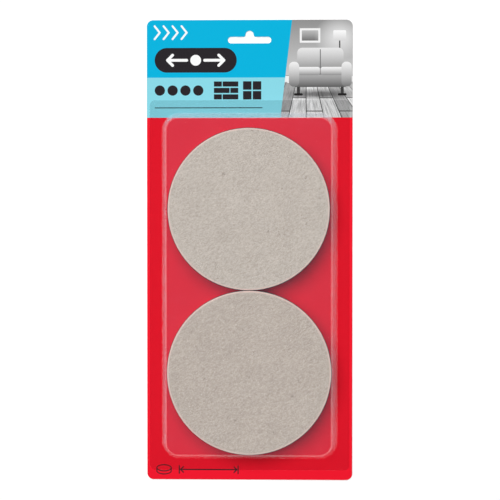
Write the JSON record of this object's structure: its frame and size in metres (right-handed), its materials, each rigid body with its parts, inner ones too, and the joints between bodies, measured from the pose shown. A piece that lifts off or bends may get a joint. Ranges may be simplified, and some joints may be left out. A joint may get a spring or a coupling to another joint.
{
  "type": "carded furniture slider set",
  "caption": "Round felt-faced furniture sliders stacked on a printed hanging card under a clear peel-open blister; each joins a glide felt to a carrier dish and a ridged grip pad.",
  "frame": {"origin": "middle of the card's back face, which the pack lies on", "axes": "+X across the card, +Y along the card towards the hang slot, +Z out of the printed face towards the blister"},
  "size_m": [0.1602, 0.3584, 0.0225],
  "materials": {
    "card_print": "satin",
    "clear_film": "gloss",
    "felt": "matte",
    "bond_film": "satin",
    "carrier": "satin",
    "grip": "matte"
  },
  "bodies": {
    "card": {"backing_card": "card_print"},
    "blister": {"blister_shell": "clear_film"},
    "upper_front_slider": {"upper_front_glide_felt": "felt", "upper_front_felt_bond": "bond_film", "upper_front_carrier_dish": "carrier", "upper_front_grip_bond": "bond_film", "upper_front_grip_pad": "grip"},
    "upper_rear_slider": {"upper_rear_glide_felt": "felt", "upper_rear_felt_bond": "bond_film", "upper_rear_carrier_dish": "carrier", "upper_rear_grip_bond": "bond_film", "upper_rear_grip_pad": "grip"},
    "lower_front_slider": {"lower_front_glide_felt": "felt", "lower_front_felt_bond": "bond_film", "lower_front_carrier_dish": "carrier", "lower_front_grip_bond": "bond_film", "lower_front_grip_pad": "grip"},
    "lower_rear_slider": {"lower_rear_glide_felt": "felt", "lower_rear_felt_bond": "bond_film", "lower_rear_carrier_dish": "carrier", "lower_rear_grip_bond": "bond_film", "lower_rear_grip_pad": "grip"}
  },
  "joints": [
    {"name": "blister_peel", "type": "hinge", "parent": "card", "child": "blister", "pos_m": [0, -0.17162, 0.0011], "axis": [1, 0, 0], "range_deg": [0, 110]},
    {"name": "upper_stack_slide", "type": "slide", "parent": "card", "child": "upper_rear_slider", "axis": [0, 1, 0], "range_m": [0, 0.0065]},
    {"name": "upper_front_turn", "type": "hinge", "parent": "upper_rear_slider", "child": "upper_front_slider", "pos_m": [0, 0.03305, 0], "axis": [0, 0, 1], "continuous": true},
    {"name": "lower_stack_turn", "type": "hinge", "parent": "card", "child": "lower_rear_slider", "pos_m": [0, -0.09435, 0], "axis": [0, 0, 1], "continuous": true},
    {"name": "lower_front_turn", "type": "hinge", "parent": "lower_rear_slider", "child": "lower_front_slider", "pos_m": [0, -0.09435, 0], "axis": [0, 0, 1], "continuous": true}
  ]
}
